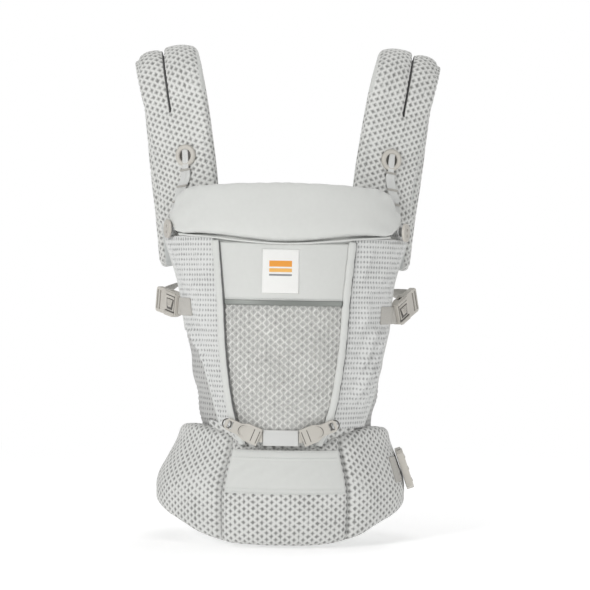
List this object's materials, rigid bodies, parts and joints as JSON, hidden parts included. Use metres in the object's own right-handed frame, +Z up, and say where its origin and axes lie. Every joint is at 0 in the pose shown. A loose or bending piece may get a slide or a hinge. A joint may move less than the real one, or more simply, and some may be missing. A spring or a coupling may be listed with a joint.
{
  "type": "soft baby carrier",
  "caption": "Soft baby carrier: padded waistbelt, mesh front panel with side wings, folding head support, arched padded shoulder straps and release buckles.",
  "frame": {"origin": "middle of the waistbelt's bottom edge at its front, on the belt foam's mid thickness", "axes": "+Z up the wearer's body, +Y from the carrier's outer front towards the wearer, +X to the right as seen from the front"},
  "size_m": [0.4518, 0.2932, 0.718],
  "materials": {
    "smooth_fabric": "smooth pale grey cotton twill",
    "mesh_fabric": "pale grey padded air mesh",
    "gusset_mesh": "darker grey unpadded mesh",
    "foam": "open-cell foam core",
    "webbing": "woven grey-tan webbing",
    "tan_plastic": "satin grey-tan acetal",
    "label_fabric": "woven white label",
    "reflective_strip": "reflective tape"
  },
  "bodies": {
    "carrier_body": {"waistbelt_foam": "foam", "waistbelt_lining": "smooth_fabric", "waistbelt_cover_center": "mesh_fabric", "waistbelt_cover_left": "mesh_fabric", "waistbelt_cover_right": "mesh_fabric", "waistbelt_front_band": "smooth_fabric", "panel_lining": "smooth_fabric", "panel_center_mesh": "mesh_fabric", "panel_yoke": "smooth_fabric", "panel_trim_strip": "reflective_strip", "panel_piping_left": "smooth_fabric", "panel_piping_right": "smooth_fabric", "side_wing_left": "mesh_fabric", "side_wing_right": "mesh_fabric", "seat_gusset_left": "gusset_mesh", "seat_gusset_right": "gusset_mesh", "label_patch": "label_fabric", "base_webbing": "webbing", "tab_snap_socket_left": "tan_plastic", "tab_snap_socket_right": "tan_plastic", "side_buckle_anchor_left": "webbing", "side_buckle_anchor_right": "webbing", "side_buckle_female_left": "tan_plastic", "side_buckle_female_right": "tan_plastic", "waist_buckle_anchor": "webbing", "waist_buckle_female": "tan_plastic", "waist_webbing": "webbing"},
    "head_support": {"head_pillow_foam": "foam", "head_pillow_cover": "smooth_fabric", "head_pillow_back": "smooth_fabric", "head_piping": "smooth_fabric", "head_button_tab_left": "webbing", "head_button_tab_right": "webbing", "head_button_left": "tan_plastic", "head_button_right": "tan_plastic"},
    "waist_latch": {"waist_buckle_male": "tan_plastic"},
    "shoulder_strap_left": {"shoulder_pad_left_foam": "foam", "shoulder_pad_left_cover": "mesh_fabric", "shoulder_pad_left_lining": "mesh_fabric", "adjuster_ring_left": "tan_plastic", "adjuster_ladder_left": "webbing"},
    "side_latch_left": {"side_buckle_male_left": "tan_plastic", "shoulder_webbing_left": "webbing"},
    "base_tab_left_body": {"base_tab_left": "tan_plastic"},
    "chest_half_left": {"chest_slider_left": "tan_plastic", "chest_webbing_left": "webbing", "chest_buckle_female": "tan_plastic"},
    "shoulder_strap_right": {"shoulder_pad_right_foam": "foam", "shoulder_pad_right_cover": "mesh_fabric", "shoulder_pad_right_lining": "mesh_fabric", "adjuster_ring_right": "tan_plastic", "adjuster_ladder_right": "webbing"},
    "side_latch_right": {"side_buckle_male_right": "tan_plastic", "shoulder_webbing_right": "webbing"},
    "base_tab_right_body": {"base_tab_right": "tan_plastic"},
    "chest_half_right": {"chest_slider_right": "tan_plastic", "chest_webbing_right": "webbing", "chest_buckle_male": "tan_plastic"}
  },
  "joints": [
    {"name": "head_support_fold", "type": "hinge", "parent": "carrier_body", "child": "head_support", "pos_m": [0, -0.032, 0.4225], "axis": [1, 0, 0], "range_deg": [0, 150]},
    {"name": "waist_buckle_release", "type": "slide", "parent": "carrier_body", "child": "waist_latch", "axis": [0, 1, 0], "range_m": [0, 0.035]},
    {"name": "shoulder_strap_left_flop", "type": "hinge", "parent": "carrier_body", "child": "shoulder_strap_left", "pos_m": [-0.14, 0.198, 0.395], "axis": [0, -0.96, 0.28], "range_deg": [-8, 20]},
    {"name": "side_buckle_left_release", "type": "slide", "parent": "carrier_body", "child": "side_latch_left", "axis": [-0.4951, 0.8576, 0.1392], "range_m": [0, 0.02]},
    {"name": "base_tab_left_lift", "type": "hinge", "parent": "carrier_body", "child": "base_tab_left_body", "pos_m": [-0.03, -0.014, 0.1525], "axis": [0, 0, 1], "range_deg": [0, 70]},
    {"name": "chest_slider_left_slide", "type": "slide", "parent": "shoulder_strap_left", "child": "chest_half_left", "axis": [-0.1183, 0, 0.993], "range_m": [-0.02, 0.02]},
    {"name": "shoulder_strap_right_flop", "type": "hinge", "parent": "carrier_body", "child": "shoulder_strap_right", "pos_m": [0.14, 0.198, 0.395], "axis": [0, 0.96, -0.28], "range_deg": [-8, 20]},
    {"name": "side_buckle_right_release", "type": "slide", "parent": "carrier_body", "child": "side_latch_right", "axis": [0.4668, 0.8085, 0.3584], "range_m": [0, 0.02]},
    {"name": "base_tab_right_lift", "type": "hinge", "parent": "carrier_body", "child": "base_tab_right_body", "pos_m": [0.03, -0.014, 0.1525], "axis": [0, 0, -1], "range_deg": [0, 70]},
    {"name": "chest_slider_right_slide", "type": "slide", "parent": "shoulder_strap_right", "child": "chest_half_right", "axis": [0.1183, 0, 0.993], "range_m": [-0.02, 0.02]}
  ]
}
